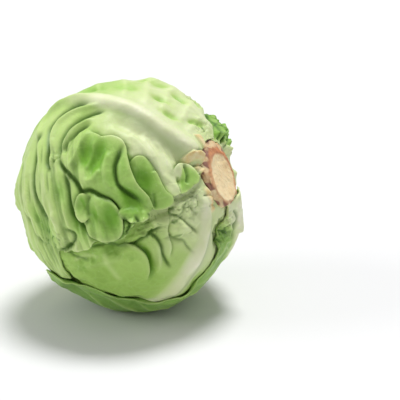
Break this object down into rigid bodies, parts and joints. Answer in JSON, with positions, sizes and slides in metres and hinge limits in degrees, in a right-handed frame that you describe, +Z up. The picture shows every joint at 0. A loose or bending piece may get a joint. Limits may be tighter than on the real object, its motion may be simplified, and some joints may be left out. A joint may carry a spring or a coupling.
{
  "type": "cabbage head",
  "caption": "Head of green cabbage lying on its side, with crumpled wrapper leaves folded over a dense heart and a cut stem.",
  "frame": {"origin": "on the small flat spot that the head rests on, under its middle", "axes": "+Z up; -Y faces the viewer; the cut stem points to +X, 22 degrees towards the viewer and 22 degrees up"},
  "size_m": [0.1578, 0.1634, 0.1607],
  "materials": {
    "outer_leaf": "waxy green leaf with pale ribs",
    "inner_leaf": "smooth pale green leaf",
    "stem": "dry cut stem, peach-cream with a browned rim"
  },
  "bodies": {
    "root": {"stem": "stem", "wrapper_leaf_under": "outer_leaf", "wrapper_leaf_top": "outer_leaf", "wrapper_leaf_lower": "outer_leaf", "wrapper_leaf_back": "outer_leaf", "wrapper_leaf_front": "inner_leaf", "heart": "inner_leaf"}
  },
  "joints": []
}
